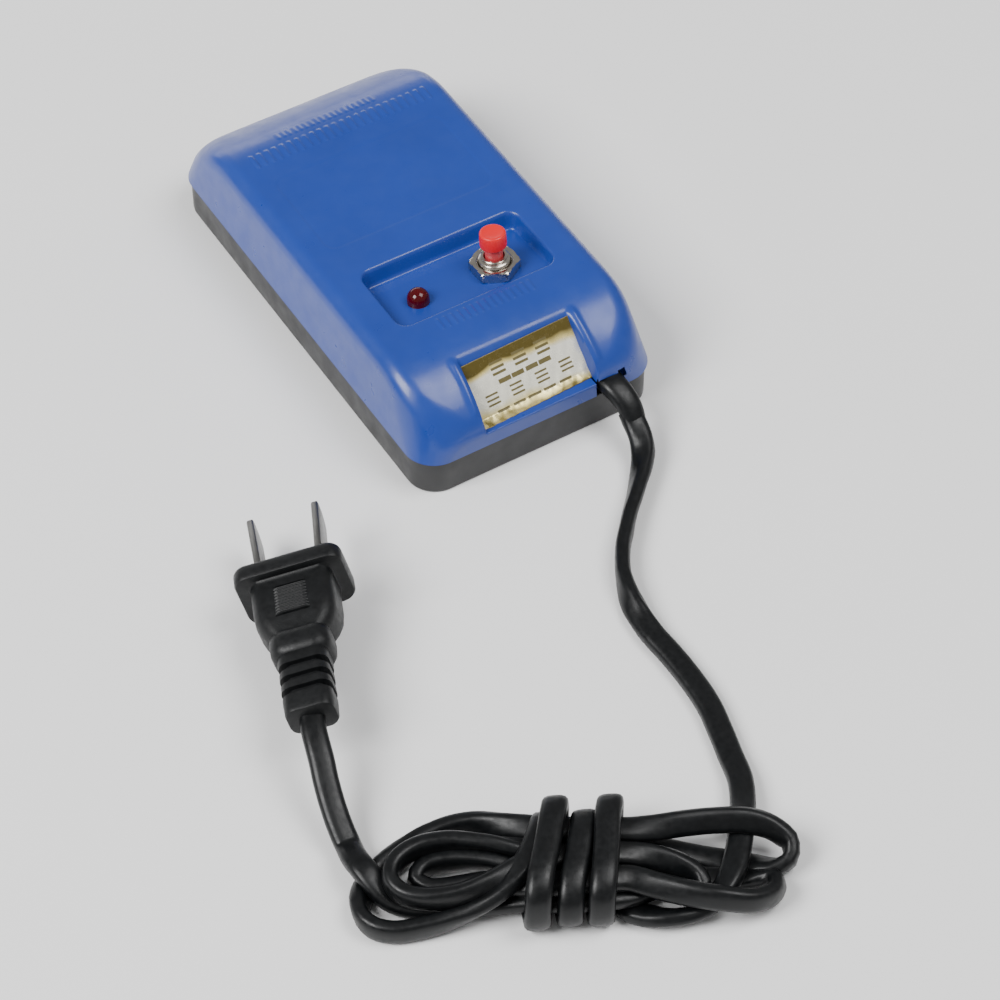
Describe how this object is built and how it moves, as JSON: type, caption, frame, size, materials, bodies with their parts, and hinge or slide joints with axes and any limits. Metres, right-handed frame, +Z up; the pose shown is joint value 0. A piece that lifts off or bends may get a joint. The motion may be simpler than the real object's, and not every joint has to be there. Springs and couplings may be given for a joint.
{
  "type": "watch demagnetizer",
  "caption": "Mains demagnetizer: box case with a flat work surface, momentary push button, pilot lamp, foil label, and a tied flat lead with a two-blade plug.",
  "frame": {"origin": "centre of the case outline on the surface that it stands on", "axes": "+Z up, +Y to the back of the case, +X to the right seen from the end where the lead leaves"},
  "size_m": [0.1251, 0.2356, 0.0331],
  "materials": {
    "case_black": "fine moulded black plastic, satin",
    "cover_blue": "moulded blue ABS, satin gloss",
    "label_foil": "gold metallised foil with plain printed bars",
    "screw_steel": "zinc plated",
    "switch_nickel": "bright nickel plate",
    "switch_phenolic": "brown phenolic",
    "button_red": "red moulded plastic",
    "contact_brass": "plain",
    "spring_steel": "drawn wire",
    "lens_red": "deep red tinted epoxy",
    "leg_tinned": "tinned wire",
    "resistor_paint": "tan lacquer",
    "diode_epoxy": "black epoxy",
    "core_laminations": "stacked silicon steel sheet",
    "bobbin_nylon": "natural nylon",
    "winding_enamel": "enamelled copper wire",
    "coil_tape": "yellow polyester tape",
    "wire_red": "red PVC",
    "wire_blue": "blue PVC",
    "cord_pvc": "soft black PVC, satin",
    "plug_pvc": "moulded black PVC, matt",
    "blade_nickel": "nickel plated brass"
  },
  "bodies": {
    "case": {"base_tray": "case_black", "top_cover": "cover_blue", "label_plate": "label_foil", "case_screw_front_left": "screw_steel", "case_screw_front_right": "screw_steel", "case_screw_back_left": "screw_steel", "case_screw_back_right": "screw_steel", "switch_bushing": "switch_nickel", "switch_nut": "switch_nickel", "switch_body": "switch_phenolic", "switch_spring": "spring_steel", "switch_terminal_left": "contact_brass", "switch_terminal_right": "contact_brass", "led_lens": "lens_red", "led_leg_left": "leg_tinned", "led_leg_right": "leg_tinned", "led_resistor": "resistor_paint", "rectifier_diode": "diode_epoxy", "core_bar": "core_laminations", "coil_bobbin": "bobbin_nylon", "coil_winding": "winding_enamel", "coil_tape": "coil_tape", "pole_piece_front": "core_laminations", "core_screw_front": "screw_steel", "pole_piece_back": "core_laminations", "core_screw_back": "screw_steel", "strain_relief": "cord_pvc", "cord_clamp": "case_black", "clamp_screw_left": "screw_steel", "clamp_screw_right": "screw_steel", "wire_live": "wire_red", "wire_neutral": "wire_blue", "wire_coil": "wire_red", "wire_lamp_live": "wire_red", "wire_lamp_neutral": "wire_blue", "cord_lead": "cord_pvc", "cord_hank": "cord_pvc", "cord_tail": "cord_pvc", "plug_body": "plug_pvc", "plug_blade_left": "blade_nickel", "plug_blade_right": "blade_nickel"},
    "button": {"button_cap": "button_red", "button_stem": "button_red", "contact_bridge": "contact_brass"}
  },
  "joints": [
    {"name": "button_press", "type": "slide", "parent": "case", "child": "button", "axis": [0, -0.1045, -0.9945], "range_m": [0, 0.0025], "stiffness_N_per_m": 600, "springref_m": -0.0008, "deforming": ["switch_spring"]}
  ]
}
